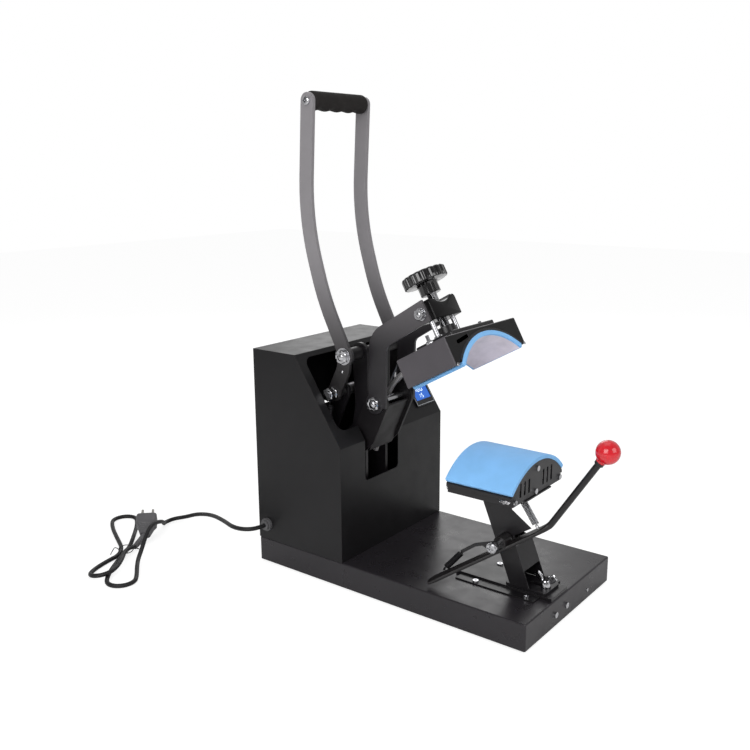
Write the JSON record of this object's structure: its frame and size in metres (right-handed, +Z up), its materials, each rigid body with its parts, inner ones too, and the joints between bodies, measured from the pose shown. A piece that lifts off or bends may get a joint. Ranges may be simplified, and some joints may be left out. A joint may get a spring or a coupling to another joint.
{
  "type": "cap heat press",
  "caption": "Bench press with a hand lever that swings a curved heated platen down onto a curved cap form, with a timer panel and mains cord.",
  "frame": {"origin": "centre of the base footprint at the underside of the rubber mat", "axes": "+Z up, -Y towards the operator, +X to the operator's right"},
  "size_m": [0.5174, 0.9575, 0.786],
  "materials": {
    "grey_hammer_paint": "satin grey powder coat",
    "black_paint": "satin black powder coat",
    "satin_steel": "satin nickel-plated steel",
    "bright_zinc": "bright zinc plate",
    "cast_aluminium": "machined aluminium",
    "blue_silicone": "matt blue silicone sponge",
    "foil_wool": "mineral wool wrapped in crumpled foil",
    "braided_sleeve": "silver braided sleeve",
    "black_rubber": "matt black rubber",
    "black_plastic": "moulded black plastic",
    "black_cord": "satin black flex",
    "black_bakelite": "glossy moulded black",
    "red_ball": "glossy red moulded ball",
    "display_window": "tinted display window",
    "button_plastic": "pale moulded key",
    "circuit_board": "green solder mask",
    "nickel_pins": "nickel-plated brass"
  },
  "bodies": {
    "base": {"base_bottom_plate": "black_paint", "base_mat": "black_rubber", "base_tray": "grey_hammer_paint", "cabinet_back_cover": "grey_hammer_paint", "cabinet_shell": "grey_hammer_paint", "case_screws": "bright_zinc", "controller_bezel": "black_plastic", "controller_board": "circuit_board", "controller_display": "display_window", "cord_gland": "black_plastic", "cord_hank": "black_cord", "cord_tie": "black_cord", "cord_tube": "black_cord", "frame_plates": "black_paint", "frame_rods": "bright_zinc", "handle_spindle": "bright_zinc", "pivot_nuts": "bright_zinc", "plug_body": "black_plastic", "plug_pins": "nickel_pins", "plug_strain_relief": "black_plastic", "post_rail": "satin_steel", "power_switch_body": "black_plastic", "return_springs": "bright_zinc", "solid_state_relay": "black_plastic"},
    "handle": {"handle_bars": "satin_steel", "handle_cross_tubes": "bright_zinc", "handle_fasteners": "bright_zinc", "handle_grip": "black_rubber", "crank_bolt": "bright_zinc"},
    "links": {"toggle_links": "satin_steel"},
    "arm": {"swing_plates": "black_paint", "knee_arms": "black_paint", "arm_bolts": "bright_zinc", "tail_pin": "bright_zinc", "cross_block": "black_paint", "heat_sleeve": "braided_sleeve"},
    "platen": {"upper_pad": "blue_silicone", "upper_heating_plate": "cast_aluminium", "upper_hood": "black_paint", "upper_insulation": "foil_wool", "upper_top_plate": "black_paint", "platen_studs": "bright_zinc"},
    "screw": {"pressure_screw": "bright_zinc", "pressure_knob": "black_bakelite"},
    "post": {"lower_core": "cast_aluminium", "lower_insulation": "foil_wool", "lower_pad": "blue_silicone", "lower_shell": "black_paint", "post_body": "black_paint", "post_fasteners": "bright_zinc", "spring_anchor_link": "black_paint", "lever_springs": "bright_zinc"},
    "lever": {"lever_arm": "satin_steel", "lever_ball": "red_ball"},
    "clamp": {"wing_nut": "bright_zinc"},
    "key_up": {"button_up": "button_plastic"},
    "key_down": {"button_down": "button_plastic"},
    "key_set": {"button_set": "button_plastic"},
    "rocker": {"power_switch_rocker": "black_plastic"}
  },
  "joints": [
    {"name": "arm_close", "type": "hinge", "parent": "base", "child": "arm", "pos_m": [-0.034, 0.16, 0.17], "axis": [1, 0, 0], "range_deg": [0, 29]},
    {"name": "handle_swing", "type": "hinge", "parent": "base", "child": "handle", "pos_m": [-0.034, 0.096, 0.379], "axis": [1, 0, 0], "range_deg": [0, 50.1], "deforming": ["return_springs"]},
    {"name": "link_turn", "type": "hinge", "parent": "handle", "child": "links", "pos_m": [-0.034, 0.118, 0.316], "axis": [1, 0, 0], "range_deg": [-53.75, 0]},
    {"name": "pressure_travel", "type": "slide", "parent": "arm", "child": "platen", "axis": [0, -0.4848, -0.8746], "range_m": [-0.003, 0.001]},
    {"name": "knob_turn", "type": "hinge", "parent": "platen", "child": "screw", "pos_m": [-0.034, -0.01928, 0.48661], "axis": [0, 0.4848, 0.8746], "range_deg": [-180, 540]},
    {"name": "post_slide", "type": "slide", "parent": "base", "child": "post", "axis": [0, -1, 0], "range_m": [0, 0.02]},
    {"name": "lever_pull", "type": "hinge", "parent": "post", "child": "lever", "pos_m": [-0.075, -0.181, 0.127], "axis": [1, 0, 0], "range_deg": [0, 12], "stiffness_Nm_per_rad": 6, "springref_deg": -11.46, "deforming": ["lever_springs"]},
    {"name": "clamp_turn", "type": "hinge", "parent": "base", "child": "clamp", "pos_m": [-0.034, -0.235, 0.06], "axis": [0, 0, 1], "range_deg": [0, 180]},
    {"name": "key_up_press", "type": "slide", "parent": "base", "child": "key_up", "axis": [0, 0.8348, -0.5506], "range_m": [0, 0.0015], "stiffness_N_per_m": 400, "springref_m": -0.001},
    {"name": "key_down_press", "type": "slide", "parent": "base", "child": "key_down", "axis": [0, 0.8348, -0.5506], "range_m": [0, 0.0015], "stiffness_N_per_m": 400, "springref_m": -0.001},
    {"name": "key_set_press", "type": "slide", "parent": "base", "child": "key_set", "axis": [0, 0.8348, -0.5506], "range_m": [0, 0.0015], "stiffness_N_per_m": 400, "springref_m": -0.001},
    {"name": "rocker_tip", "type": "hinge", "parent": "base", "child": "rocker", "pos_m": [0.1385, 0.212, 0.1], "axis": [0, 1, 0], "range_deg": [-14, 0]}
  ],
  "couplings": [
    {"joint": "handle_swing", "follows": "arm_close", "ratio": 1.7241},
    {"joint": "link_turn", "follows": "arm_close", "ratio": -1.8466},
    {"joint": "knob_turn", "follows": "pressure_travel", "rad_per_m": -3141.6}
  ]
}
